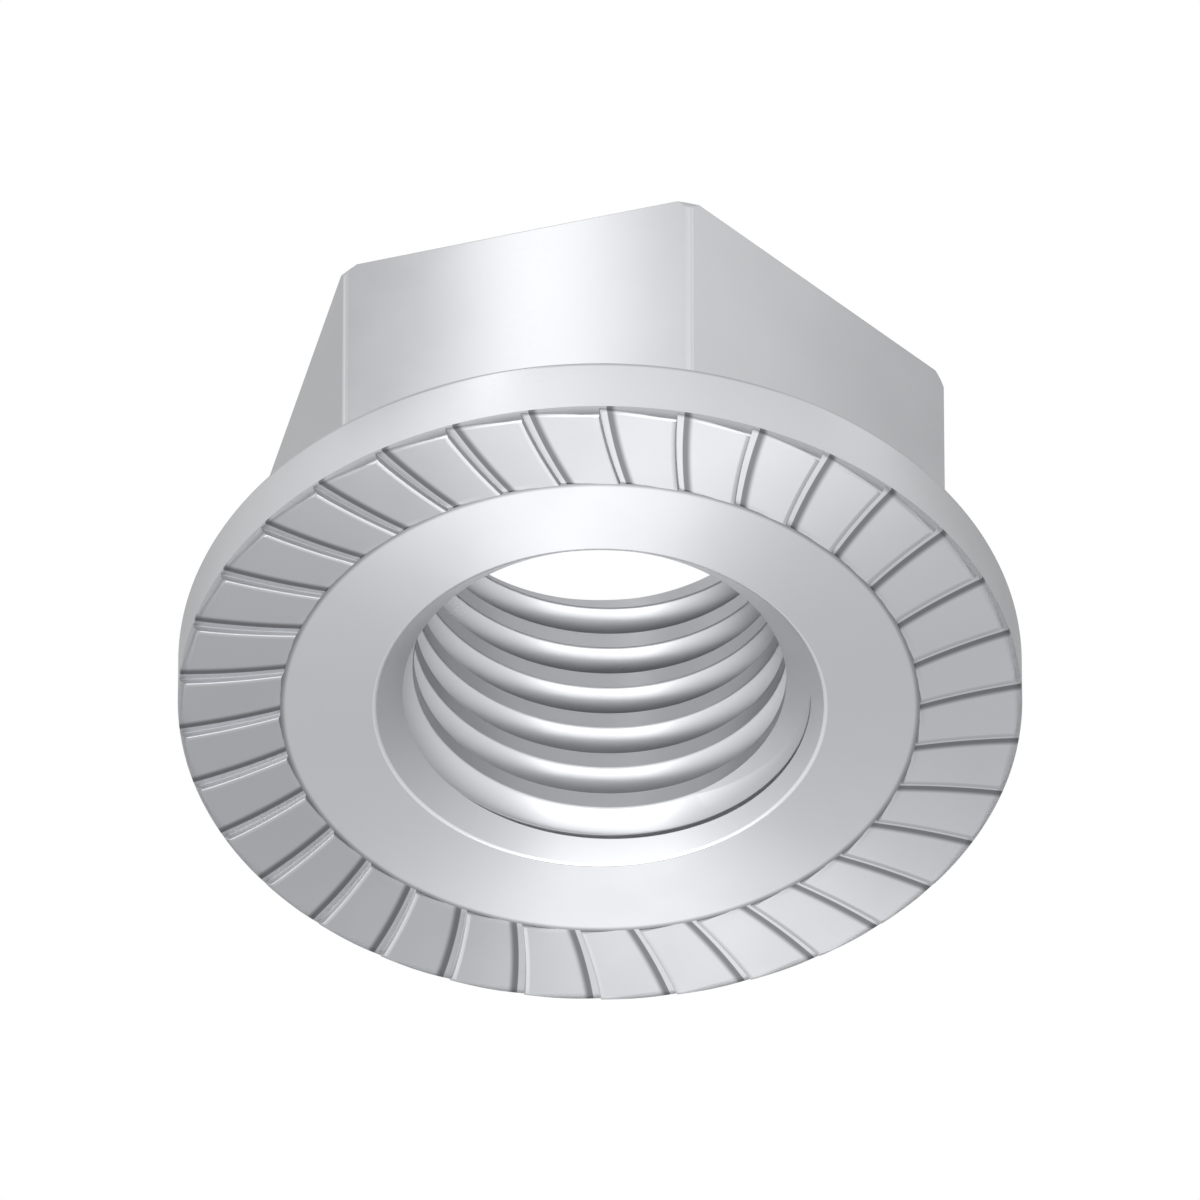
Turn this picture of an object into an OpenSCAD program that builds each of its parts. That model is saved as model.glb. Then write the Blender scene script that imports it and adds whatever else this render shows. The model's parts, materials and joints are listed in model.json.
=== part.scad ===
// Serrated hexagon flange nut, coarse 3/4 inch thread with ten turns to the inch.
// The flange lies down: the tooth tips are at z = 0 and the thread's axis is the Z axis.

/* [Hexagon] */
// Distance across the flats, where the spanner grips
across_flats = 28.1; // [27:0.1:30]
// Height of the nut, from the tooth tips to the end of the hexagon
nut_h = 17; // [15:0.1:20]
// How far the six corners are rounded inwards at the end of the hexagon
corner_trim = 0.32; // [0.2:0.02:0.6]
// How far down each corner that rounding runs
corner_trim_h = 1.2; // [0.7:0.1:2]
// Radius that rounds the six upright edges of the hexagon
upright_edge_r = 0.35; // [0.2:0.05:0.8]

/* [Flange] */
// Diameter of the flange
flange_d = 38.1; // [36:0.1:42]
// Height of the straight rim, from the tooth tips to the sloping top
rim_h = 3.2; // [2.2:0.05:4]
// Slope of the flange's top, in degrees from level
flange_slope = 25; // [15:1:30]
// Radius that rounds the rim's upper and lower edges
rim_edge_r = 0.4; // [0.2:0.05:0.8]

/* [Serrations] */
// Number of teeth on the bearing face
tooth_count = 34; // [28:1:40]
// Depth of a tooth at the rim
tooth_depth = 0.3; // [0.2:0.05:0.6]
// Width of the flat land on the tip of a tooth
tooth_land = 0.2; // [0.1:0.05:0.4]
// Lean of a tooth's edge from the radial direction at the rim, in degrees
tooth_lean = 7; // [0:1:14]
// Radius of the arc that a tooth's edge follows
tooth_curve_r = 31; // [26:1:60]
// Direction in which the first tooth's edge meets the rim, in degrees
first_tooth = 0.6; // [0:0.1:12]
// Diameter inside which the bearing face has no teeth
teeth_inner_d = 28.9; // [26:0.1:31]
// Depth of the plain ring inside the teeth, below the tooth tips
ring_recess = 0.12; // [0.06:0.02:0.8]

/* [Thread] */
// Outer diameter of the thread, at the bottom of its groove
major_d = 19.05; // [18.5:0.05:19.5]
// Inner diameter of the thread, on its crests
minor_d = 16.84; // [16.3:0.02:17.2]
// Rise of the thread in one turn
pitch = 2.54; // [2:0.01:3]
// Width of the flat at the bottom of the thread's groove
root_flat = 0.32; // [0.2:0.02:0.5]
// Diameter of the countersinks where they open
mouth_d = 20.33; // [19.8:0.01:21.5]
// Angle between a countersink's wall and the axis, in degrees
mouth_angle = 45; // [40:1:60]
// Direction in which a crest's upper edge stands at start_z, in degrees
start_angle = 105.5; // [0:0.5:360]
// Height of the crest's upper edge in that direction
start_z = 3; // [0:0.01:6]

/* [Hidden] */

// Full circles: any count over twelve stands for a true circle.
round_sides = 96;
// Cuts run this far past the faces that they open.
past = 1;
flange_r = flange_d / 2;
teeth_inner_r = teeth_inner_d / 2;
corner_r = across_flats / sqrt(3);
major_r = major_d / 2;
minor_r = minor_d / 2;
mouth_r = mouth_d / 2;

// Each upright edge is an arc round a centre at this distance from the axis. It stands out from
// both flats by a few thousandths, so that it crosses them cleanly instead of only touching them.
corner_step = 60;
flat_turn = corner_step / 2;
edge_stand_out = 0.006;
edge_flat_x = corner_r - upright_edge_r / cos(flat_turn);
edge_arc_x = edge_flat_x + edge_stand_out;

// The arc that rounds a corner is upright where it starts and ends on the top face.
corner_arc_r = (corner_trim ^ 2 + corner_trim_h ^ 2) / (2 * corner_trim);
corner_arc_z = nut_h - corner_trim_h;

// The rim's upper edge is an arc that touches both the rim and the slope.
rim_arc_x = flange_r - rim_edge_r;
rim_arc_z = rim_h + rim_edge_r * tan(flange_slope) - rim_edge_r / cos(flange_slope);
slope_start = [
    rim_arc_x + rim_edge_r * sin(flange_slope),
    rim_arc_z + rim_edge_r * cos(flange_slope)
];
slope_top = rim_h + flange_r * tan(flange_slope);

// A tooth's edge is an arc round this point, for a tooth that meets the rim on the X axis.
// Its ramp is a cone round the same point, and falls to the steep face of the tooth before.
arc_centre = [flange_r + tooth_curve_r * sin(tooth_lean), tooth_curve_r * cos(tooth_lean)];
tooth_angle = 360 / tooth_count;
ramp_start_r = tooth_curve_r + tooth_land;
ramp_w = norm(polar(flange_r, -tooth_angle) - arc_centre) - ramp_start_r;
ramp_slope = tooth_depth / ramp_w;
ramp_reach = 2 * ramp_w;
// The gaps run this far into the plain ring, so that the two cuts cross on a clean line.
gap_overlap = 0.05;

// The thread's groove is a trapezium with walls at 30 degrees, swept along the helix.
// Its section is carried a little way past the crests, so that it opens into the bore.
flank_angle = 30;
groove_steps = 36;
groove_overlap = 0.3;
groove_inner_r = minor_r - groove_overlap;
groove_half = root_flat / 2 + (major_r - groove_inner_r) * tan(flank_angle);
crest_half = (pitch - root_flat) / 2 - (major_r - minor_r) * tan(flank_angle);
groove_start_z = start_z - crest_half + pitch / 2 - ceil(start_z / pitch + 1) * pitch;
groove_turns = ceil((nut_h - groove_start_z) / pitch) + 1;

// Flange: a disc with an upright rim and a conical top that runs up under the hexagon
module flange() {
    rotate_extrude($fn = round_sides) {
        polygon([
            [0, 0],
            [rim_arc_x, 0],
            [flange_r, rim_edge_r],
            [flange_r, rim_arc_z],
            slope_start,
            [0, slope_top]
        ]);
        translate([rim_arc_x, rim_edge_r])
            circle(r = rim_edge_r, $fn = round_sides);
        translate([rim_arc_x, rim_arc_z])
            circle(r = rim_edge_r, $fn = round_sides);
    }
}

// Round body that the hexagon is cut from, with a rounded shoulder at its end
module corner_blank() {
    rotate_extrude($fn = round_sides) {
        square([corner_r, corner_arc_z]);
        intersection() {
            square([corner_r, nut_h]);
            union() {
                translate([corner_r - corner_arc_r, corner_arc_z])
                    circle(r = corner_arc_r, $fn = round_sides);
                square([corner_r - corner_arc_r, nut_h]);
            }
        }
    }
}

// Place in the outline at a distance and a direction
function polar(r, angle) = r * [cos(angle), sin(angle)];

// Outline of the hexagon with rounded corners, one of them on the X axis
module hexagon_outline() {
    polygon([
        for (corner = [0 : corner_step : 360 - corner_step])
            for (turn = [-flat_turn, flat_turn])
                polar(edge_flat_x, corner) + polar(upright_edge_r, corner + turn)
    ]);
    for (corner = [0 : corner_step : 360 - corner_step])
        translate(polar(edge_arc_x, corner))
            circle(r = upright_edge_r, $fn = round_sides);
}

// Hexagon with its end shaped by the round body
module hexagon() {
    intersection() {
        linear_extrude(nut_h)
            hexagon_outline();
        corner_blank();
    }
}

// What is cut away between two teeth: a ramp from one tooth's land to the next one's steep face
module tooth_gap() {
    intersection() {
        translate(arc_centre)
            rotate_extrude($fn = round_sides)
                polygon([
                    [ramp_start_r, -past],
                    [ramp_start_r, 0],
                    [ramp_start_r + ramp_reach, ramp_reach * ramp_slope],
                    [ramp_start_r + ramp_reach, -past]
                ]);
        rotate(-tooth_angle)
            translate([arc_centre.x, arc_centre.y, -nut_h / 2])
                cylinder(r = tooth_curve_r, h = nut_h, $fn = round_sides);
        tooth_band();
    }
}

// The band outside the plain ring, as a tall ring that a gap is kept to
module tooth_band() {
    band_start_r = teeth_inner_r - gap_overlap;
    rotate_extrude($fn = round_sides)
        translate([band_start_r, -nut_h / 2])
            square([flange_r + past - band_start_r, nut_h]);
}

// All the gaps
module tooth_gaps() {
    for (i = [0 : tooth_count - 1])
        rotate(first_tooth + i * tooth_angle)
            tooth_gap();
}

// One countersink, opening upwards at z = 0 and carried on past its mouth
module countersink() {
    depth = (mouth_r - minor_r) / tan(mouth_angle);
    grow = past * tan(mouth_angle);
    translate([0, 0, -depth])
        cylinder(r1 = minor_r, r2 = mouth_r + grow, h = depth + past, $fn = round_sides);
}

// One corner of the groove's trapezium after i steps along the helix
function groove_point(i, r, dz) =
    let (a = start_angle + i * 360 / groove_steps)
    [r * cos(a), r * sin(a), groove_start_z + i * pitch / groove_steps + dz];

// The groove of the thread as one closed sweep
module groove() {
    steps = groove_turns * groove_steps;
    points = [
        for (i = [0 : steps])
            each [
                groove_point(i, groove_inner_r, -groove_half),
                groove_point(i, major_r, -root_flat / 2),
                groove_point(i, major_r, root_flat / 2),
                groove_point(i, groove_inner_r, groove_half)
            ]
    ];
    sides = [
        for (i = [0 : steps - 1])
            for (k = [0 : 3])
                let (a = 4 * i + k, b = 4 * i + (k + 1) % 4)
                each [[a, b, b + 4], [a, b + 4, a + 4]]
    ];
    ends = [[3, 2, 1, 0], [4 * steps, 4 * steps + 1, 4 * steps + 2, 4 * steps + 3]];
    polyhedron(points, concat(sides, ends), convexity = 10);
}

// The whole nut, one piece of steel
module nut() {
    color("silver")
        difference() {
            union() {
                flange();
                hexagon();
            }
            tooth_gaps();
            translate([0, 0, -past])
                cylinder(r = teeth_inner_r, h = past + ring_recess, $fn = round_sides);
            translate([0, 0, -past])
                cylinder(r = minor_r, h = nut_h + 2 * past, $fn = round_sides);
            translate([0, 0, nut_h])
                countersink();
            translate([0, 0, ring_recess])
                mirror([0, 0, 1])
                    countersink();
            groove();
        }
}

nut();
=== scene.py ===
# %% [markdown]
# # A serrated flange nut
# The real object is one piece of steel, forged to shape, stamped with teeth, drilled, tapped and
# plated. It could be one mesh written out point by point. Here every step of the workshop is one
# step of the model instead, because each tool then leaves its own edges and its own finish.
#
# First the measured frame is loaded. It fixes the size and the place of everything that follows.

import json
import math
import bmesh
import bpy
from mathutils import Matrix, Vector


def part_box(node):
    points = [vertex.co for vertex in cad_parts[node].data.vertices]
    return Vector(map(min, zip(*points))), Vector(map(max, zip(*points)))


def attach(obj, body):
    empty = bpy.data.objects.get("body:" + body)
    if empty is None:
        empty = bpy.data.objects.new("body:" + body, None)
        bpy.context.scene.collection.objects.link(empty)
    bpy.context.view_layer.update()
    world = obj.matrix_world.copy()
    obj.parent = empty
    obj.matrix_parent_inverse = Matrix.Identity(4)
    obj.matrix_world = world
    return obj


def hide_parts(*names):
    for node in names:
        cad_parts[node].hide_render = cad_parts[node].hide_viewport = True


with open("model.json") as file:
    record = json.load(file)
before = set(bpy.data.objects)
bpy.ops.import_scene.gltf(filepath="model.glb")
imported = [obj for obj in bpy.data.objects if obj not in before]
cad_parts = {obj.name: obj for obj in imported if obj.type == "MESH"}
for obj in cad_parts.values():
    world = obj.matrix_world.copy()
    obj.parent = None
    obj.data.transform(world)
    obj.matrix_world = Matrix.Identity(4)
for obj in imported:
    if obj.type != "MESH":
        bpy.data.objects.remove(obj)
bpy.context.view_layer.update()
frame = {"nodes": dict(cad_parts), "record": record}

# %% [markdown]
# ## The driving sizes
# The flange's radius, the height and the bore come from the frame, so they can't drift from the
# solid. The other sizes are the ones that the solid was drawn with. Blender counts in metres.

# %% Sizes
MM = 0.001
MOUNTS = {mount["name"]: mount for mount in frame["record"]["mounts"]}
SOLID = frame["nodes"]["nut"]

FLANGE_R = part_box("nut")[1].x
NUT_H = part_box("nut")[1].z
CREST_R = MOUNTS["thread"]["dims"]["r_mm"] * MM

CORNER_R = 28.1 * MM / math.sqrt(3)
UPRIGHT_ROUND = 0.35 * MM
CORNER_TRIM = 0.32 * MM
CORNER_TRIM_H = 1.2 * MM
RIM_H = 3.2 * MM
RIM_ROUND = 0.4 * MM
FLANGE_SLOPE = math.radians(25)
RING_R = 28.9 * MM / 2
RING_DEPTH = 0.12 * MM
MOUTH_R = 20.33 * MM / 2
EDGE_ROUND = 0.1 * MM

for name, size in (("flange", 2 * FLANGE_R), ("height", NUT_H), ("bore", 2 * CREST_R)):
    print(name, "in mm:", round(size / MM, 2))

# %% [markdown]
# ## One finish for each tool
# A forging die, a drill, a facing tool, a coining die and a tap each leave a surface of their own,
# and handling rubs the edges bright. All could be one material with masks. Here each finish is a
# material that is only named for now, so that each tool carries it into its cut. The nodes come
# further down.

# %% Name the finishes
FINISHES = {name: bpy.data.materials.new(name) for name in (
    "forged_zinc", "drilled_zinc", "faced_zinc", "coined_zinc", "tapped_zinc", "rubbed_zinc")}


def wear_finish(piece, name):
    piece.data.materials.clear()
    piece.data.materials.append(FINISHES[name])


print("finishes:", ", ".join(FINISHES))

# %% [markdown]
# ## Telling one edge from another
# A modeller sees which edge to pick. A script has to ask: how far the mesh folds at it, how high it
# lies and how far from the axis. After each step a piece also has to be closed, with two faces at
# every edge, or the next cut goes wrong.

# %% Questions about edges
NEAR = 0.01 * MM


def fold(edge):
    return edge.calc_face_angle(0)


def level(edge, height):
    return all(abs(v.co.z - height) < NEAR for v in edge.verts)


def on_ring(edge, radius, height):
    return level(edge, height) and all(abs(math.hypot(v.co.x, v.co.y) - radius) < NEAR for v in edge.verts)


def closed(piece):
    mesh = bmesh.new()
    mesh.from_mesh(piece.data)
    good = all(edge.is_manifold for edge in mesh.edges)
    mesh.free()
    return good


# %% [markdown]
# ## Working by hand in edit mode
# These helpers stand for the mouse: they pick edges and round them with the bevel tool. An operator
# acts on everything that is selected, so each helper first lets go of all the rest, and before a
# new primitive the solid is taken for the same reason. The bevel tool leaves its new faces
# selected. Most roundings are rubbed bright, so that is the finish they get unless another is
# named, and with None they keep the finish of the faces beside them.

# %% Pick and round
def take(piece):
    for other in bpy.context.selected_objects:
        other.select_set(False)
    piece.select_set(True)
    bpy.context.view_layer.objects.active = piece


def pick_edges(piece, wanted):
    take(piece)
    bpy.ops.object.mode_set(mode="EDIT")
    bpy.ops.mesh.select_mode(type="EDGE")
    bpy.ops.mesh.select_all(action="DESELECT")
    mesh = bmesh.from_edit_mesh(piece.data)
    found = [edge for edge in mesh.edges if wanted(edge)]
    for edge in found:
        edge.select_set(True)
    bmesh.update_edit_mesh(piece.data)
    return len(found)


def round_edges(piece, wanted, width, segments, finish="rubbed_zinc"):
    count = pick_edges(piece, wanted)
    bpy.ops.mesh.bevel(offset=width, segments=segments, profile=0.5, affect="EDGES")
    if finish:
        if finish not in piece.data.materials:
            piece.data.materials.append(FINISHES[finish])
        piece.active_material_index = piece.data.materials.find(finish)
        bpy.ops.object.material_slot_assign()
    bpy.ops.object.mode_set(mode="OBJECT")
    print(piece.name, "edges rounded:", count, "closed:", closed(piece))


# %% [markdown]
# ## Turned bodies
# Most of a nut is round. A round body could be spun from its section. Here it is built up like a
# pot: a filled circle is the foot, and each further ring is one extrusion and one scaling. A ring
# is given as a radius and a height, from the foot up. All bodies start half a facet round from the
# X axis, so that no facet's edge falls on a corner of the hexagon.

# %% Turn a body
STEPS = 240
MERGE_DISTANCE = 0.001 * MM


def turned(name, finish, rings):
    (radius, height), *others = rings
    take(SOLID)
    bpy.ops.mesh.primitive_circle_add(
        vertices=STEPS, radius=radius, fill_type="NGON",
        location=(0, 0, height), rotation=(0, 0, math.pi / STEPS),
    )
    piece = bpy.context.object
    piece.name = name
    bpy.ops.object.transform_apply()
    wear_finish(piece, finish)
    bpy.ops.object.mode_set(mode="EDIT")
    for next_radius, next_height in others:
        bpy.ops.mesh.extrude_region_move(TRANSFORM_OT_translate={"value": (0, 0, next_height - height)})
        grow = next_radius / radius
        bpy.ops.transform.resize(value=(grow, grow, 1), center_override=(0, 0, 0))
        radius, height = next_radius, next_height
    face_outwards()
    bpy.ops.object.mode_set(mode="OBJECT")
    return piece


def merge_all():
    bpy.ops.mesh.select_all(action="SELECT")
    bpy.ops.mesh.remove_doubles(threshold=MERGE_DISTANCE)


def face_outwards():
    merge_all()
    bpy.ops.mesh.normals_make_consistent(inside=False)


# %% [markdown]
# ## Joining and cutting
# Metal is joined and cut with the Boolean modifier, which is applied at once. Its exact solver
# copes with faces that nearly touch, and it carries the tool's finish onto the faces it leaves. A
# tool always reaches past what it cuts, because two faces in one plane have no clear winner.

# %% Combine two bodies
PAST = 1.0 * MM


def combine(piece, tool, operation):
    take(piece)
    step = piece.modifiers.new(tool.name, "BOOLEAN")
    step.operation = operation
    step.solver = "EXACT"
    step.material_mode = "TRANSFER"
    step.object = tool
    bpy.ops.object.modifier_apply(modifier=step.name)
    print(piece.name, operation.lower(), tool.name,
          "faces:", len(piece.data.polygons), "closed:", closed(piece))
    bpy.data.objects.remove(tool)


# %% [markdown]
# ## The hexagon
# The spanner grips the hexagon. It could be pushed up from a flat outline. A six-sided cylinder
# with a corner on the X axis is quicker and just as exact. Its upright edges get the rounding that
# forging leaves, and its top edges a smaller one. The bevel tool asks how far from the edge a
# rounding starts. That is the radius times the tangent of half the turn from face to face.

# %% Hexagonal bar
HALF_SIDE = math.radians(30)
UPRIGHT_WIDTH = UPRIGHT_ROUND * math.tan(HALF_SIDE)
bar_foot = 1.0 * MM
take(SOLID)
bpy.ops.mesh.primitive_cylinder_add(
    vertices=6, radius=CORNER_R, depth=NUT_H - bar_foot, end_fill_type="NGON",
    location=(0, 0, (NUT_H + bar_foot) / 2), rotation=(0, 0, HALF_SIDE),
)
nut = bpy.context.object
nut.name = "steel_nut"
bpy.ops.object.transform_apply()
wear_finish(nut, "forged_zinc")
round_edges(nut, lambda e: not level(e, e.verts[0].co.z), UPRIGHT_WIDTH, segments=4)
round_edges(nut, lambda e: level(e, NUT_H), EDGE_ROUND, segments=3)

# %% [markdown]
# At the free end the six corners are drawn in along an arc, as the forging die leaves them. A
# turned body with that arc as its shoulder keeps only what lies inside it. Its top rises a hair
# above the hexagon's, so that the flat end stays the hexagon's own.

# %% Rounded corners at the free end
arc_r = (CORNER_TRIM**2 + CORNER_TRIM_H**2) / (2 * CORNER_TRIM)
arc_z = NUT_H - CORNER_TRIM_H
arc_steps = 6
rises = [step * CORNER_TRIM_H / arc_steps for step in range(arc_steps + 1)]
shoulder = [(CORNER_R - arc_r + math.sqrt(arc_r**2 - rise**2), arc_z + rise) for rise in rises]
shoulder_r = CORNER_R - CORNER_TRIM
top_rise = 0.06 * MM
corner_form = turned("corner_form", "rubbed_zinc", [
    (CORNER_R, 0), *shoulder, (shoulder_r - PAST, NUT_H + top_rise)
])
round_edges(corner_form, lambda e: on_ring(e, shoulder_r, NUT_H), 0.8 * EDGE_ROUND, segments=3)
combine(nut, corner_form, "INTERSECT")

# %% [markdown]
# ## The flange
# The flange spreads the load like a washer. It is a disc with an upright rim and a sloping top.
# Both edges of the rim are rounded before it joins the hexagon, while they are still easy to find.
# The upper one is forged. The lower one is pressed by the same die as the teeth. The slope runs up
# to a radius inside the hexagon, so that the two bodies overlap.

# %% Flange
core_r = 13.0 * MM
flange = turned("flange", "forged_zinc", [
    (FLANGE_R, 0),
    (FLANGE_R, RIM_H),
    (core_r, RIM_H + (FLANGE_R - core_r) * math.tan(FLANGE_SLOPE)),
])
upper_width = RIM_ROUND * math.tan((math.pi / 2 - FLANGE_SLOPE) / 2)
round_edges(flange, lambda e: on_ring(e, FLANGE_R, RIM_H), upper_width, segments=6, finish=None)
round_edges(flange, lambda e: on_ring(e, FLANGE_R, 0), RIM_ROUND, segments=6, finish="coined_zinc")
combine(nut, flange, "UNION")

# %% [markdown]
# ## The foot of the hexagon
# A forged nut has no sharp inner corner: where the hexagon rises out of the slope, the metal
# flows round. Those edges are the only ones that fold inwards, so they are picked by that.

# %% Fillet at the foot of the hexagon
FILLET = 0.3 * MM
clear_fold = math.radians(20)
round_edges(nut, lambda e: fold(e) > clear_fold and not e.is_convex, FILLET, segments=5, finish=None)

# %% [markdown]
# ## Drilling and facing
# The drill opens the bore and a countersink at each end. The facing tool then sinks the plain
# ring inside the teeth. Its shoulder flares a little, which breaks the inner ends of the teeth.

# %% Bore, countersinks and plain ring
sink = MOUTH_R - CREST_R
drill = turned("drill", "drilled_zinc", [
    (MOUTH_R + RING_DEPTH + PAST, -PAST),
    (CREST_R, RING_DEPTH + sink),
    (CREST_R, NUT_H - sink),
    (MOUTH_R + PAST, NUT_H + PAST),
])
combine(nut, drill, "DIFFERENCE")

flare = 0.06 * MM
facer = turned("facer", "faced_zinc", [
    (RING_R + flare, -PAST), (RING_R + flare, 0), (RING_R, flare), (RING_R, RING_DEPTH)
])
combine(nut, facer, "DIFFERENCE")


def at_mouth(edge):
    return on_ring(edge, MOUTH_R, RING_DEPTH) or on_ring(edge, MOUTH_R, NUT_H)


round_edges(nut, at_mouth, EDGE_ROUND, segments=3)

# %% [markdown]
# ## The teeth
# A die coins 34 one-way teeth into the bearing face. Each tooth's edge is an arc that leans more
# and more towards the middle, and its ramp falls away from a narrow land as a cone round the same
# centre. So one rule gives every point: a radius from the axis and a radius from the arc's centre.

# %% The rule of the teeth
TOOTH_COUNT = 34
TOOTH_DEPTH = 0.3 * MM
TOOTH_LAND = 0.2 * MM
TOOTH_LEAN = math.radians(7)
TOOTH_CURVE_R = 31 * MM
FIRST_TOOTH = math.radians(0.6)
tooth_angle = math.tau / TOOTH_COUNT
arc_centre = Vector((FLANGE_R + TOOTH_CURVE_R * math.sin(TOOTH_LEAN), TOOTH_CURVE_R * math.cos(TOOTH_LEAN)))
centre_angle = math.atan2(arc_centre.y, arc_centre.x)


def on_arc(radius, arc_r, turn=0.0):
    reach = arc_centre.length
    apart = math.acos((radius**2 + reach**2 - arc_r**2) / (2 * radius * reach))
    angle = centre_angle - apart + turn
    return Vector((radius * math.cos(angle), radius * math.sin(angle)))


def ramp_run(radius):
    return (on_arc(radius, TOOTH_CURVE_R, -tooth_angle) - arc_centre).length - TOOTH_CURVE_R - TOOTH_LAND


lean_sine = (arc_centre.length**2 - RING_R**2 - TOOTH_CURVE_R**2) / (2 * RING_R * TOOTH_CURVE_R)
print("an edge leans at the ring by", round(math.degrees(math.asin(lean_sine)), 1), "degrees")

# %% [markdown]
# The die could be 34 solid wedges, but wedges that touch are hard to join. One wavy sheet has no
# seams. A strip of it is a grid of four long lines: the tip of a tooth, the other edge of its
# land, the foot of its ramp and, just beside that, the tip of the tooth before. The steep face
# leans by a hair, the draft that lets a real die lift off.

# %% One strip of the die
DRAFT = 0.02 * MM
skim = 0.002 * MM
line_steps = 10


def strip_row(radius):
    tip = on_arc(radius, TOOTH_CURVE_R)
    land = on_arc(radius, TOOTH_CURVE_R + TOOTH_LAND)
    foot = on_arc(radius, TOOTH_CURVE_R - DRAFT, -tooth_angle)
    tip_before = on_arc(radius, TOOTH_CURVE_R, -tooth_angle)
    depth = TOOTH_DEPTH * ramp_run(radius) / ramp_run(FLANGE_R)
    return [(*tip, skim), (*land, skim), (*foot, depth), (*tip_before, skim)]


take(SOLID)
bpy.ops.mesh.primitive_grid_add(x_subdivisions=3, y_subdivisions=line_steps, size=MM)
die = bpy.context.object
die.name = "die"
wear_finish(die, "coined_zinc")
inner_end, outer_end = RING_R - PAST, FLANGE_R + PAST
row_radii = [inner_end + (outer_end - inner_end) * row / line_steps for row in range(line_steps + 1)]
places = [place for radius in row_radii for place in strip_row(radius)]
for vertex, place in zip(die.data.vertices, places, strict=True):
    vertex.co = place
print("points in a strip:", len(places), "gap's depth at the rim in mm:", TOOTH_DEPTH / MM)

# %% [markdown]
# The strip is spun round the axis, one copy for each tooth, and its seams are merged. The tips and
# feet get a tiny rounding. Pushed down, the sheet becomes a solid, and a bore keeps it clear of the
# plain ring. Then the die is cut out of the nut.

# %% The whole die
TIP_ROUND = 0.04 * MM
steep_fold = math.radians(45)
copies = TOOTH_COUNT - 1
bpy.ops.object.mode_set(mode="EDIT")
bpy.ops.mesh.select_all(action="SELECT")
bpy.ops.transform.rotate(value=FIRST_TOOTH, orient_axis="Z", center_override=(0, 0, 0))
bpy.ops.mesh.spin(steps=copies, dupli=True, angle=copies * tooth_angle, center=(0, 0, 0), axis=(0, 0, 1))
merge_all()
bpy.ops.object.mode_set(mode="OBJECT")
round_edges(die, lambda e: fold(e) > steep_fold, TIP_ROUND, segments=3, finish=None)
bpy.ops.object.mode_set(mode="EDIT")
bpy.ops.mesh.select_all(action="SELECT")
bpy.ops.mesh.extrude_region_move(TRANSFORM_OT_translate={"value": (0, 0, -PAST)})
face_outwards()
bpy.ops.object.mode_set(mode="OBJECT")
die_inner_r = RING_R - 0.02 * MM
die_bore = turned("die_bore", "coined_zinc", [(die_inner_r, -3 * PAST), (die_inner_r, PAST)])
combine(die, die_bore, "DIFFERENCE")
combine(nut, die, "DIFFERENCE")

# %% [markdown]
# ## The thread
# A tap cuts the thread. Rings would look alike from afar, but only a helix runs out into the
# countersinks as a real thread does. The tap's tooth starts as a six-cornered outline with 60
# degrees between its flanks, opening wider at the crests to break their edges. START_Z is the height
# at which a crest's upper edge passes the direction START_ANGLE. From there the groove is followed
# down to below the nut, because both ends of the helix have to lie outside it.

# %% Outline of the tap's tooth
MAJOR_R = 19.05 * MM / 2
PITCH = 2.54 * MM
ROOT_HALF = 0.32 * MM / 2
START_ANGLE = math.radians(105.5)
START_Z = 3.0 * MM
crest_break = 0.02 * MM
crest_reach = 0.1 * MM
flank_rise = math.tan(math.radians(30))
break_rise = math.tan(math.radians(70))
crest_half = PITCH / 2 - ROOT_HALF - (MAJOR_R - CREST_R) * flank_rise
corner_half = ROOT_HALF + (MAJOR_R - CREST_R - crest_break) * flank_rise
inner_half = corner_half + (crest_break + crest_reach) * break_rise
upper_side = [
    (MAJOR_R, ROOT_HALF),
    (CREST_R + crest_break, corner_half),
    (CREST_R - crest_reach, inner_half),
]
outline = upper_side + [(r, -z) for r, z in reversed(upper_side)]
groove_z = START_Z - crest_half + PITCH / 2 - PITCH * START_ANGLE / math.tau
first_z = groove_z % PITCH - 2 * PITCH
turns = math.ceil((NUT_H - first_z) / PITCH) + 1

take(SOLID)
bpy.ops.mesh.primitive_circle_add(vertices=6, radius=MM)
tap = bpy.context.object
tap.name = "tap"
wear_finish(tap, "tapped_zinc")
for vertex, (radius, height) in zip(tap.data.vertices, outline, strict=True):
    vertex.co = (radius, 0, first_z + height)
print("turns of the helix:", turns, "crest's width in mm:", round(2 * crest_half / MM, 2))

# %% [markdown]
# The corners that cut are rounded, as a worn tap's are, so the groove has no sharp bottom. The
# Screw modifier drags the outline up the helix in as many steps as the bore has facets. It starts on
# the X axis, half a facet away from the bore's own edges. The two open ends are filled.

# %% Tap
ROOT_ROUND = 0.06 * MM
bpy.ops.object.mode_set(mode="EDIT")
bpy.ops.mesh.select_all(action="DESELECT")
outline_mesh = bmesh.from_edit_mesh(tap.data)
for vertex in outline_mesh.verts:
    vertex.select_set(vertex.co.x > CREST_R)
bmesh.update_edit_mesh(tap.data)
bpy.ops.mesh.bevel(offset=ROOT_ROUND, segments=3, profile=0.5, affect="VERTICES")
bpy.ops.object.mode_set(mode="OBJECT")
helix = tap.modifiers.new("helix", "SCREW")
helix.axis = "Z"
helix.screw_offset = PITCH
helix.iterations = turns
helix.steps = helix.render_steps = STEPS
bpy.ops.object.modifier_apply(modifier=helix.name)
bpy.ops.object.mode_set(mode="EDIT")
bpy.ops.mesh.select_all(action="SELECT")
bpy.ops.mesh.fill_holes(sides=0)
face_outwards()
bpy.ops.object.mode_set(mode="OBJECT")
combine(nut, tap, "DIFFERENCE")

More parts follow.
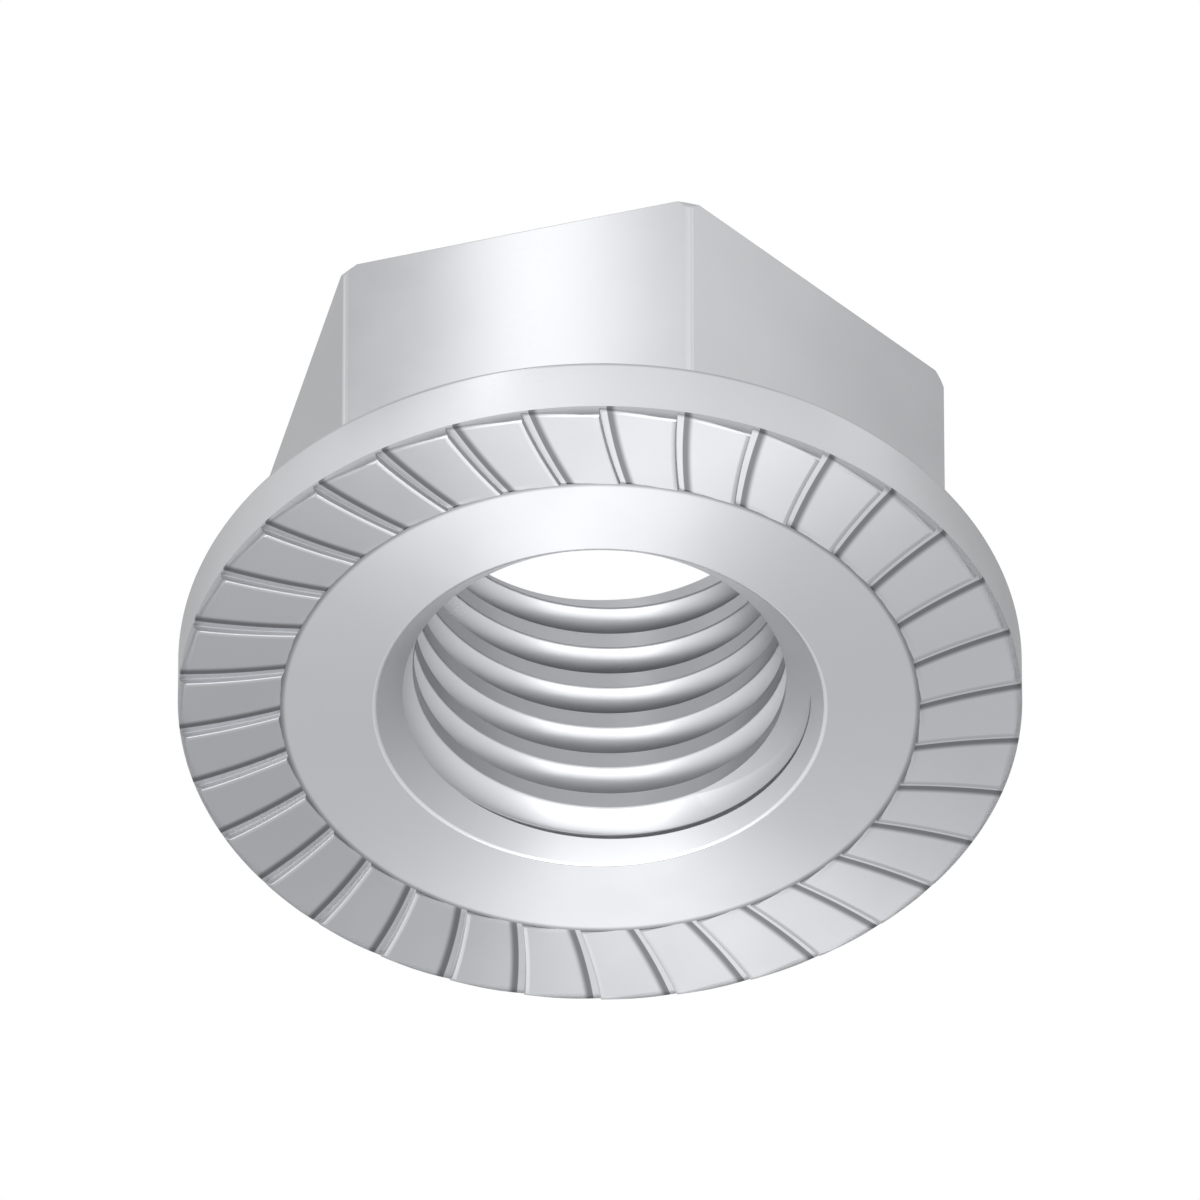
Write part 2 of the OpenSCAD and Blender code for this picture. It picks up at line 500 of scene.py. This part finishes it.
# %% [markdown]
# ## Smooth shading
# Every fold under 30 degrees is part of a round face, so it is shaded smooth. The edges beside a
# tooth's land and beside the thread's crest fold less than that, but the tools leave them crisp, so
# they are marked sharp first: the first by their fold, the others by the finishes that meet there.
# Weighted normals keep the large flat faces flat and let the narrow roundings carry the change.

# %% Clean up and shade
take(nut)
bpy.ops.object.mode_set(mode="EDIT")
merge_all()
bpy.ops.object.mode_set(mode="OBJECT")
drilled, coined, tapped = [
    nut.data.materials.find(name) for name in ("drilled_zinc", "coined_zinc", "tapped_zinc")
]
least_fold, most_fold = math.radians(3.5), math.radians(8)
smooth_under = math.radians(30)


def finishes_beside(edge):
    return {face.material_index for face in edge.link_faces}


def beside_land(edge):
    return least_fold < fold(edge) < most_fold and finishes_beside(edge) == {coined}


def beside_crest(edge):
    return finishes_beside(edge) == {drilled, tapped}


for place, wanted in (("lands", beside_land), ("crests", beside_crest)):
    print("sharp edges beside the", place + ":", pick_edges(nut, wanted))
    bpy.ops.mesh.mark_sharp()
    bpy.ops.object.mode_set(mode="OBJECT")
bpy.ops.object.shade_smooth_by_angle(angle=smooth_under)
weight = nut.modifiers.new("weighted", "WEIGHTED_NORMAL")
weight.keep_sharp = True
bpy.ops.object.modifier_apply(modifier=weight.name)
print("closed:", closed(nut), "triangles:", sum(len(p.vertices) - 2 for p in nut.data.polygons))
print("finishes on the nut:", [material.name for material in nut.data.materials])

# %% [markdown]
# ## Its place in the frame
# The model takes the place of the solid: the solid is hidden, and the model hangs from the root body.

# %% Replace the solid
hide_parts("nut")
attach(nut, "root")
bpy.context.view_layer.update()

# %% [markdown]
# ## Node helpers
# A shader is a web of small nodes. These helpers add a node, and feed a socket with either a
# number or another node's output. Places are read in object coordinates, which stay on the nut.

# %% Add and feed nodes
def add(tree, kind, **settings):
    node = tree.nodes.new("ShaderNode" + kind)
    for name, value in settings.items():
        setattr(node, name, value)
    return node


def feed(tree, socket, value):
    if isinstance(value, bpy.types.NodeSocket):
        tree.links.new(value, socket)
    else:
        socket.default_value = value


def calc(tree, operation, *values):
    node = add(tree, "Math", operation=operation)
    for socket, value in zip(node.inputs, values):
        feed(tree, socket, value)
    return node.outputs[0]


def ramp(tree, value, low, high, to_low=0.0, to_high=1.0):
    node = add(tree, "MapRange", interpolation_type="SMOOTHSTEP")
    names = ("Value", "From Min", "From Max", "To Min", "To Max")
    for name, number in zip(names, (value, low, high, to_low, to_high), strict=True):
        feed(tree, node.inputs[name], number)
    return node.outputs["Result"]


def object_place(tree):
    return add(tree, "TexCoord").outputs["Object"]


def axis_distance(tree, place):
    split = add(tree, "SeparateXYZ")
    feed(tree, split.inputs[0], place)
    squares = [calc(tree, "MULTIPLY", split.outputs[axis], split.outputs[axis]) for axis in "XY"]
    return calc(tree, "SQRT", calc(tree, "ADD", *squares))


# %% [markdown]
# ## Node groups
# An effect that several finishes share is built once, as a group with named inputs and outputs.

# %% Make and use groups
def new_group(name, inputs, outputs):
    group = bpy.data.node_groups.new(name, "ShaderNodeTree")
    for label, kind in inputs:
        group.interface.new_socket(label, in_out="INPUT", socket_type="NodeSocket" + kind)
    for label, kind in outputs:
        group.interface.new_socket(label, in_out="OUTPUT", socket_type="NodeSocket" + kind)
    start = group.nodes.new("NodeGroupInput").outputs
    end = group.nodes.new("NodeGroupOutput").inputs
    return group, start, end


def use_group(tree, group, **values):
    node = add(tree, "Group", node_tree=group)
    for name, value in values.items():
        feed(tree, node.inputs[name.capitalize()], value)
    return node.outputs


# %% [markdown]
# ## Zinc plating
# Bright zinc isn't one even grey: it is a little cloudy, and finely grained under the clouds.
# Both come from noise in object coordinates, less a half, so that it swings about zero. A scale of
# 180 to the metre makes clouds of about 5 mm, and 4200 a grain of a quarter of a millimetre. The
# group gives the colour, the roughness and the height of the grain, and every finish uses it with
# its own values.

# %% Group: plating
GRAIN_HEIGHT = 0.0002 * MM
CLOUD_ROUGHNESS, GRAIN_ROUGHNESS = 0.12, 0.05
plating, start, end = new_group(
    "plating", [("Color", "Color"), ("Roughness", "Float"), ("Cloud", "Float")],
    [("Color", "Color"), ("Roughness", "Float"), ("Height", "Float")])
place = object_place(plating)


def noise(tree, vector, scale, detail):
    node = add(tree, "TexNoise")
    feed(tree, node.inputs["Vector"], vector)
    node.inputs["Scale"].default_value = scale
    node.inputs["Detail"].default_value = detail
    return calc(tree, "SUBTRACT", node.outputs[0], 0.5)


clouds = noise(plating, place, scale=180, detail=4)
grain = noise(plating, place, scale=4200, detail=2)
brightness = calc(plating, "MULTIPLY_ADD", clouds, start["Cloud"], 1.0)
tint = add(plating, "VectorMath", operation="SCALE")
feed(plating, tint.inputs[0], start["Color"])
feed(plating, tint.inputs["Scale"], brightness)
feed(plating, end["Color"], tint.outputs[0])
rough = calc(plating, "MULTIPLY_ADD", clouds, CLOUD_ROUGHNESS, start["Roughness"])
feed(plating, end["Roughness"], calc(plating, "MULTIPLY_ADD", grain, GRAIN_ROUGHNESS, rough))
feed(plating, end["Height"], calc(plating, "MULTIPLY", grain, GRAIN_HEIGHT))
print(plating.name, "nodes:", len(plating.nodes))

# %% [markdown]
# ## Marks that run round the axis
# A drill, a facing tool and a tap all leave fine lines round the axis. A wave texture would make
# them too even. Noise that changes fast with the radius and slowly round the axis looks like them,
# with no seam.

# %% Group: turning marks
marks, start, end = new_group(
    "turning_marks", [("Fineness", "Float"), ("Depth", "Float")], [("Height", "Float")])
split = add(marks, "SeparateXYZ")
feed(marks, split.inputs[0], object_place(marks))
flat_place = add(marks, "CombineXYZ")
feed(marks, flat_place.inputs["X"], split.outputs["X"])
feed(marks, flat_place.inputs["Y"], split.outputs["Y"])
length = add(marks, "VectorMath", operation="LENGTH")
feed(marks, length.inputs[0], flat_place.outputs[0])
around = add(marks, "VectorMath", operation="NORMALIZE")
feed(marks, around.inputs[0], flat_place.outputs[0])
out_and_up = calc(marks, "ADD", length.outputs["Value"], split.outputs["Z"])
along = calc(marks, "MULTIPLY", out_and_up, start["Fineness"])
line_place = add(marks, "VectorMath", operation="ADD")
feed(marks, line_place.inputs[0], around.outputs[0])
lift = add(marks, "CombineXYZ")
feed(marks, lift.inputs["Z"], along)
feed(marks, line_place.inputs[1], lift.outputs[0])
lines = noise(marks, line_place.outputs[0], scale=1.0, detail=2)
feed(marks, end["Height"], calc(marks, "MULTIPLY", lines, start["Depth"]))
print(marks.name, "nodes:", len(marks.nodes))

# %% [markdown]
# ## Painted shade in the corners
# The narrow inner corners are painted darker, as painted shade: the foot of each tooth, the corner of
# the plain ring and the bottom of the thread. The mask for the teeth counts them by their angle,
# minus the angle by which a tooth's edge leans at that radius. It starts a little early, so that
# it covers the steep face too. The other two masks go by the radius alone.

# %% Group: painted shade at the tooth feet
feet_shade, start, end = new_group("tooth_feet_shade", [("Width", "Float")], [("Mask", "Float")])
place = object_place(feet_shade)
split = add(feet_shade, "SeparateXYZ")
feed(feet_shade, split.inputs[0], place)
angle = calc(feet_shade, "ARCTAN2", split.outputs["Y"], split.outputs["X"])
radius = axis_distance(feet_shade, place)
reach = arc_centre.length
squares = calc(feet_shade, "ADD", calc(feet_shade, "MULTIPLY", radius, radius), reach**2 - TOOTH_CURVE_R**2)
apart = calc(feet_shade, "ARCCOSINE", calc(feet_shade, "DIVIDE", squares, calc(feet_shade, "MULTIPLY", radius, 2 * reach)))
early_start = 0.05 * MM / RING_R
lean = calc(feet_shade, "SUBTRACT", apart, centre_angle + FIRST_TOOTH - early_start)
turn = calc(feet_shade, "ADD", angle, lean)
part = calc(feet_shade, "FRACT", calc(feet_shade, "DIVIDE", turn, tooth_angle))
distance = calc(feet_shade, "MULTIPLY", calc(feet_shade, "MULTIPLY", part, tooth_angle), radius)
# The mask is painted shade: full at the foot of each tooth, fading out over the given width.
full_width = 0.2 * MM
fade = ramp(feet_shade, distance, full_width, start["Width"], 1.0, 0.0)
onset = ramp(feet_shade, distance, 0.01 * MM, 0.05 * MM)
feed(feet_shade, end["Mask"], calc(feet_shade, "MULTIPLY", fade, onset))
print(feet_shade.name, "nodes:", len(feet_shade.nodes))

# %% [markdown]
# ## The finishes
# All are metals with a Principled shader. A surface with lines round the axis spreads its gloss
# across them, so those finishes are anisotropic: the tangent runs round the Z axis, and the spread
# is turned a quarter from it. A Mix node has sockets for every kind of value: its colours are
# inputs 6 and 7 and output 2.

# %% Finish builder
# This grey is multiplied into a finish's colour as painted shade in the inner corners.
PAINTED_SHADE_GREY = (0.35, 0.35, 0.36, 1.0)
MARKS_PER_METRE = 9000.0
QUARTER_TURN = 0.25


def bright_zinc(name, color, roughness, cloud, marks_depth=0.0, stretch=0.0, painted_shade=None):
    material = FINISHES[name]
    material.use_nodes = True
    tree = material.node_tree
    shader = tree.nodes["Principled BSDF"]
    shader.inputs["Metallic"].default_value = 1.0
    coat = use_group(tree, plating, color=(*color, 1.0), roughness=roughness, cloud=cloud)
    surface, height = coat["Color"], coat["Height"]
    # Painted shade: where the mask is high, the colour is multiplied by the corner grey.
    if painted_shade:
        shade_mix = add(tree, "Mix", data_type="RGBA", blend_type="MULTIPLY")
        feed(tree, shade_mix.inputs["Factor"], painted_shade(tree))
        feed(tree, shade_mix.inputs[6], surface)
        feed(tree, shade_mix.inputs[7], PAINTED_SHADE_GREY)
        surface = shade_mix.outputs[2]
    if marks_depth:
        lines = use_group(tree, marks, fineness=MARKS_PER_METRE, depth=marks_depth)
        height = calc(tree, "ADD", height, lines["Height"])
    bump = add(tree, "Bump")
    bump.inputs["Distance"].default_value = 1.0
    feed(tree, bump.inputs["Height"], height)
    feed(tree, shader.inputs["Base Color"], surface)
    feed(tree, shader.inputs["Roughness"], coat["Roughness"])
    feed(tree, shader.inputs["Normal"], bump.outputs[0])
    if stretch:
        shader.inputs["Anisotropic"].default_value = stretch
        shader.inputs["Anisotropic Rotation"].default_value = QUARTER_TURN
        tangent = add(tree, "Tangent", direction_type="RADIAL", axis="Z")
        feed(tree, shader.inputs["Tangent"], tangent.outputs[0])
    print(name, "colour:", color, "roughness:", roughness, "stretch:", stretch)


# %% [markdown]
# The rim, the flats and the slope are forged. The countersinks and the crests are drilled, the
# plain ring is faced, the teeth are coined and the groove is tapped. Rubbed edges are the
# brightest.

# %% Give each finish its nodes
# These masks paint shade into the finishes: darker at the foot of each tooth, towards the bottom of the
# thread and towards the outer corner of the plain ring.
def painted_tooth_shade_mask(tree):
    return use_group(tree, feet_shade, width=0.5 * MM)["Mask"]


def painted_thread_root_shade(tree):
    distance = axis_distance(tree, object_place(tree))
    return ramp(tree, distance, CREST_R, MAJOR_R, 0.0, 0.5)


def painted_ring_corner_shade(tree):
    distance = axis_distance(tree, object_place(tree))
    return ramp(tree, distance, RING_R - 0.3 * MM, RING_R - 0.05 * MM, 0.0, 0.8)


STEEL = (0.66, 0.67, 0.69)
bright_zinc("forged_zinc", STEEL, roughness=0.24, cloud=0.12)
bright_zinc("faced_zinc", STEEL, roughness=0.42, cloud=0.08,
            marks_depth=0.0006 * MM, stretch=0.85, painted_shade=painted_ring_corner_shade)
bright_zinc("drilled_zinc", (0.6, 0.61, 0.63), roughness=0.42, cloud=0.08,
            marks_depth=0.0006 * MM, stretch=0.85)
bright_zinc("coined_zinc", (0.56, 0.57, 0.59), roughness=0.42, cloud=0.1,
            marks_depth=0.0003 * MM, stretch=0.85, painted_shade=painted_tooth_shade_mask)
bright_zinc("tapped_zinc", STEEL, roughness=0.3, cloud=0.06,
            marks_depth=0.0004 * MM, stretch=0.4, painted_shade=painted_thread_root_shade)
bright_zinc("rubbed_zinc", (0.76, 0.77, 0.79), roughness=0.25, cloud=0.04)

# %% [markdown]
# ## The camera
# The drawing has no perspective. An orthographic camera would do, but a very long lens from far
# away looks the same and keeps the scene's other views alike. The camera comes before the lights,
# because what a metal face mirrors depends on where it is seen from.

# %% Camera
VIEW_AZIMUTH, VIEW_ELEVATION = -74.5, -44.57
FRAME_WIDTH = 54.3 * MM


def towards(azimuth, elevation):
    a, e = math.radians(azimuth), math.radians(elevation)
    return Vector((math.cos(a) * math.cos(e), math.sin(a) * math.cos(e), math.sin(e)))


aim = Vector((0, 0, 6.99 * MM))
back = towards(VIEW_AZIMUTH, VIEW_ELEVATION)
camera_data = bpy.data.cameras.new("camera")
camera_data.lens, camera_data.sensor_width = 1000, 36
camera_data.clip_start = 0.01
camera = bpy.data.objects.new("camera", camera_data)
bpy.context.scene.collection.objects.link(camera)
camera.location = aim + back * (FRAME_WIDTH * camera_data.lens / camera_data.sensor_width)
camera.rotation_euler = (-back).to_track_quat("-Z", "Y").to_euler()
bpy.context.scene.camera = camera
print("camera's distance in metres:", round((camera.location - aim).length, 3))

# %% [markdown]
# ## The floor
# The picture looks up at the nut from below the floor, so the floor can't hide it: from behind
# it is clear. From above it is a plain pale floor that keeps the shadow. Under the nut it lets
# the light from below through, so the bearing face isn't black. That window is a little smaller
# than the flange, so that no light shows at the rim.

# %% Floor
FLOOR_SIDE = 12.0
window_margin = 0.2 * MM
take(SOLID)
bpy.ops.mesh.primitive_plane_add(size=FLOOR_SIDE)
floor = bpy.context.object
floor.name = "floor"
pale = bpy.data.materials.new("pale_floor")
pale.use_nodes = True
tree = pale.node_tree
paint = tree.nodes["Principled BSDF"]
paint.inputs["Base Color"].default_value = (0.9, 0.9, 0.9, 1)
paint.inputs["Roughness"].default_value = 1
paint.inputs["Specular IOR Level"].default_value = 0
length = add(tree, "VectorMath", operation="LENGTH")
feed(tree, length.inputs[0], object_place(tree))
under_nut = calc(tree, "LESS_THAN", length.outputs["Value"], FLANGE_R - window_margin)
unseen = calc(tree, "SUBTRACT", 1, add(tree, "LightPath").outputs["Is Camera Ray"])
window = calc(tree, "MULTIPLY", under_nut, unseen)
through = calc(tree, "MAXIMUM", window, add(tree, "NewGeometry").outputs["Backfacing"])
mix = add(tree, "MixShader")
for socket, value in zip(mix.inputs, (through, paint.outputs[0], add(tree, "BsdfTransparent").outputs[0])):
    feed(tree, socket, value)
feed(tree, tree.nodes["Material Output"].inputs["Surface"], mix.outputs[0])
floor.data.materials.append(pale)
print("floor's nodes:", len(tree.nodes))

# %% [markdown]
# ## The studio
# The background is white, also in the metal's reflections where they reach it. Metal shows little
# but what is round it, so the studio holds things that glow and that only reflections see. How
# brightly they glow can change with the direction from their middle.

# %% Glowing things
def glowing(piece, profile):
    glow = bpy.data.materials.new(piece.name)
    glow.use_nodes = True
    tree = glow.node_tree
    shader = tree.nodes["Principled BSDF"]
    shader.inputs["Base Color"].default_value = (0, 0, 0, 1)
    shader.inputs["Specular IOR Level"].default_value = 0
    shader.inputs["Emission Color"].default_value = (1, 1, 1, 1)
    feed(tree, shader.inputs["Emission Strength"], profile(tree))
    piece.data.materials.append(glow)
    piece.visible_camera = piece.visible_diffuse = False
    piece.visible_shadow = piece.visible_transmission = False
    print("glowing:", piece.name)


def facing(tree, azimuth, elevation):
    way = add(tree, "VectorMath", operation="NORMALIZE")
    feed(tree, way.inputs[0], object_place(tree))
    share = add(tree, "VectorMath", operation="DOT_PRODUCT")
    feed(tree, share.inputs[0], way.outputs[0])
    share.inputs[1].default_value = towards(azimuth, elevation)
    return share.outputs["Value"]


# %% [markdown]
# The nut stands in a light tent, a sphere that is bright in front and below and grey behind, as in
# a product studio.

# %% World and tent
TENT_R = 0.5
TENT_FRONT = (-97, -30)
TENT_SWING, TENT_GLOW = 0.42, 0.84
world = bpy.data.worlds.new("studio")
bpy.context.scene.world = world
world.use_nodes = True
world.node_tree.nodes["Background"].inputs["Color"].default_value = (1, 1, 1, 1)
bpy.context.scene.view_settings.view_transform = "Standard"

take(SOLID)
bpy.ops.mesh.primitive_uv_sphere_add(segments=64, ring_count=32, radius=TENT_R)
tent = bpy.context.object
tent.name = "light_tent"
glowing(tent, lambda tree: calc(tree, "MULTIPLY_ADD", facing(tree, *TENT_FRONT), TENT_SWING, TENT_GLOW))

# %% [markdown]
# ## Cards for the flats
# A flat face mirrors only one direction of a tent, so it would be one even grey. A small card
# close to each flat in view gives it a gradient. The line of sight is thrown back by the flat as
# by a mirror, and the card stands across that line, a few centimetres from the middle of the flat.
# The front one has a bright band across it, and the right one fades towards the back.

# %% Cards
FLAT_R = CORNER_R * math.cos(HALF_SIDE)
FLAT_MIDDLE = Vector((0, 0, 9 * MM))
CARD_DISTANCE = 32 * MM


def glow_card(name, flat_azimuth, shift, lift, size, profile):
    point = FLAT_MIDDLE + towards(flat_azimuth, 0) * FLAT_R + towards(flat_azimuth + 90, 0) * shift
    way = towards(2 * flat_azimuth - VIEW_AZIMUTH, -VIEW_ELEVATION)
    upwards = (Vector((0, 0, 1)) - way * way.z).normalized()
    place = point + way * CARD_DISTANCE + upwards * lift
    turn = way.to_track_quat("Z", "Y").to_euler()
    take(SOLID)
    bpy.ops.mesh.primitive_plane_add(size=1, location=place, rotation=turn)
    card = bpy.context.object
    card.name = name
    card.scale = (*size, 1)
    glowing(card, profile)


def along_card(tree):
    split = add(tree, "SeparateXYZ")
    feed(tree, split.inputs[0], object_place(tree))
    return split.outputs["X"]


def band(width, left, right, peak):
    def profile(tree):
        across = along_card(tree)
        place = calc(tree, "DIVIDE", across, width)
        bell = calc(tree, "EXPONENT", calc(tree, "MULTIPLY", calc(tree, "MULTIPLY", place, place), -1))
        return calc(tree, "MULTIPLY_ADD", bell, peak, ramp(tree, across, -0.2, 0.2, left, right))
    return profile


def falling(high, low):
    return lambda tree: ramp(tree, along_card(tree), -0.4, 0.4, high, low)


glow_card("front_card", flat_azimuth=-90, shift=1 * MM, lift=2.5 * MM, size=(50 * MM, 18 * MM),
          profile=band(width=0.08, left=0.62, right=0.8, peak=0.97))
glow_card("right_card", flat_azimuth=-30, shift=0, lift=3.5 * MM, size=(30 * MM, 20 * MM),
          profile=falling(high=0.94, low=0.5))

# %% [markdown]
# ## A hoop for the rim
# The rim is round, so a flat card would end with a step in its mirror image. A hoop round the nut
# has no ends. It glows a little more in front than behind, with one soft peak.

# %% Hoop
HOOP_R, HOOP_DEPTH, HOOP_Z = 42 * MM, 8 * MM, 24 * MM
HOOP_SWING, HOOP_GLOW = 0.22, 0.8
PEAK_SHARPNESS, PEAK_GLOW = 9, 0.46


def rim_profile(tree):
    peak = calc(tree, "POWER", calc(tree, "MAXIMUM", facing(tree, -95, 0), 0), PEAK_SHARPNESS)
    broad = calc(tree, "MULTIPLY_ADD", facing(tree, -80, 0), HOOP_SWING, HOOP_GLOW)
    return calc(tree, "MULTIPLY_ADD", peak, PEAK_GLOW, broad)


take(SOLID)
bpy.ops.mesh.primitive_cylinder_add(
    vertices=96, radius=HOOP_R, depth=HOOP_DEPTH, end_fill_type="NOTHING", location=(0, 0, HOOP_Z)
)
rim_hoop = bpy.context.object
rim_hoop.name = "rim_hoop"
glowing(rim_hoop, rim_profile)

# %% [markdown]
# ## The lamp underneath
# A soft lamp under the floor lights the bearing face. The faced ring spreads it into two bright
# fans and leaves the sides darker, as turned metal does. It stands a little to the left of the
# picture's middle.

# %% Lamp underneath
LAMP_SIDE, LAMP_DROP, LAMP_SHIFT = 140 * MM, 200 * MM, 18 * MM
LAMP_RADIANCE = 2.8
PICTURE_RIGHT = VIEW_AZIMUTH + 90
lamp_data = bpy.data.lights.new("under_lamp", "AREA")
lamp_data.shape = "RECTANGLE"
lamp_data.size = lamp_data.size_y = LAMP_SIDE
lamp_data.energy = LAMP_RADIANCE * math.pi * LAMP_SIDE**2
lamp = bpy.data.objects.new("under_lamp", lamp_data)
bpy.context.scene.collection.objects.link(lamp)
lamp.location = Vector((0, 0, -LAMP_DROP)) - towards(PICTURE_RIGHT, 0) * LAMP_SHIFT
lamp.rotation_euler = (math.pi, 0, math.radians(PICTURE_RIGHT))
lamp.visible_camera = lamp.visible_diffuse = False
print("lamp's power in watts:", round(lamp_data.energy, 3))
